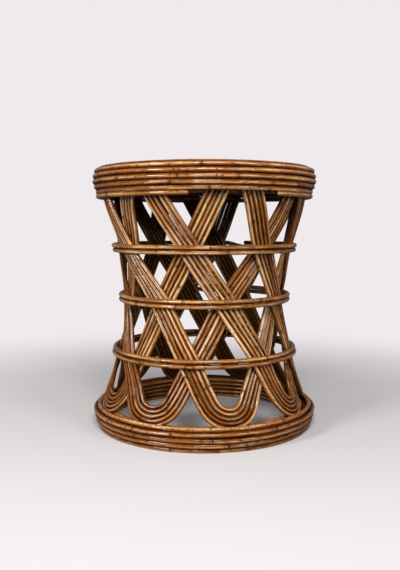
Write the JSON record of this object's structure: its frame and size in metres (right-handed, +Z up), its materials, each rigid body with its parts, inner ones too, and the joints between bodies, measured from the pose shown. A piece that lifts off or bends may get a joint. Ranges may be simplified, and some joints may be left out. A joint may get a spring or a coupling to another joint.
{
  "type": "mudda stool",
  "caption": "Round waisted cane stool: wound cane rims, a crossed lattice of looped canes tied by waist hoops, and a flat woven seat.",
  "frame": {"origin": "on the floor under the middle of the stool, at the centre of its bottom face", "axes": "+Z up; -Y towards the front, as pictured; +X to the right seen from the front"},
  "size_m": [0.3934, 0.3934, 0.4455],
  "materials": {
    "lattice_cane": "glossy lacquered cane, golden tan to dark brown with dark node rings",
    "rim_cane": "glossy lacquered cane, warm brown with dark nodes and nail dots",
    "hoop_cane": "glossy lacquered cane, golden brown",
    "inner_rim_cane": "glossy lacquered cane, dark brown",
    "batten": "lacquered split bamboo",
    "woven_seat": "woven split cane, lacquered"
  },
  "bodies": {
    "root": {"band_1_cane_1": "lattice_cane", "band_1_cane_2": "lattice_cane", "band_1_cane_3": "lattice_cane", "band_1_cane_4": "lattice_cane", "band_1_cane_5": "lattice_cane", "band_2_cane_1": "lattice_cane", "band_2_cane_2": "lattice_cane", "band_2_cane_3": "lattice_cane", "band_2_cane_4": "lattice_cane", "band_2_cane_5": "lattice_cane", "band_3_cane_1": "lattice_cane", "band_3_cane_2": "lattice_cane", "band_3_cane_3": "lattice_cane", "band_3_cane_4": "lattice_cane", "band_3_cane_5": "lattice_cane", "band_4_cane_1": "lattice_cane", "band_4_cane_2": "lattice_cane", "band_4_cane_3": "lattice_cane", "band_4_cane_4": "lattice_cane", "band_4_cane_5": "lattice_cane", "band_5_cane_1": "lattice_cane", "band_5_cane_2": "lattice_cane", "band_5_cane_3": "lattice_cane", "band_5_cane_4": "lattice_cane", "band_5_cane_5": "lattice_cane", "band_6_cane_1": "lattice_cane", "band_6_cane_2": "lattice_cane", "band_6_cane_3": "lattice_cane", "band_6_cane_4": "lattice_cane", "band_6_cane_5": "lattice_cane", "band_7_cane_1": "lattice_cane", "band_7_cane_2": "lattice_cane", "band_7_cane_3": "lattice_cane", "band_7_cane_4": "lattice_cane", "band_7_cane_5": "lattice_cane", "band_8_cane_1": "lattice_cane", "band_8_cane_2": "lattice_cane", "band_8_cane_3": "lattice_cane", "band_8_cane_4": "lattice_cane", "band_8_cane_5": "lattice_cane", "lower_waist_hoop": "hoop_cane", "middle_waist_hoop": "hoop_cane", "upper_waist_hoop": "hoop_cane", "top_rim_outer_winding": "rim_cane", "top_rim_cap_winding": "rim_cane", "top_rim_inner_winding": "inner_rim_cane", "top_rim_under_cane": "rim_cane", "bottom_rim_outer_winding": "rim_cane", "bottom_rim_inner_winding": "inner_rim_cane", "bottom_rim_rail": "inner_rim_cane", "seat_batten_1": "batten", "seat_batten_2": "batten", "seat_batten_3": "batten", "seat_batten_4": "batten", "seat_panel": "woven_seat"}
  },
  "joints": []
}
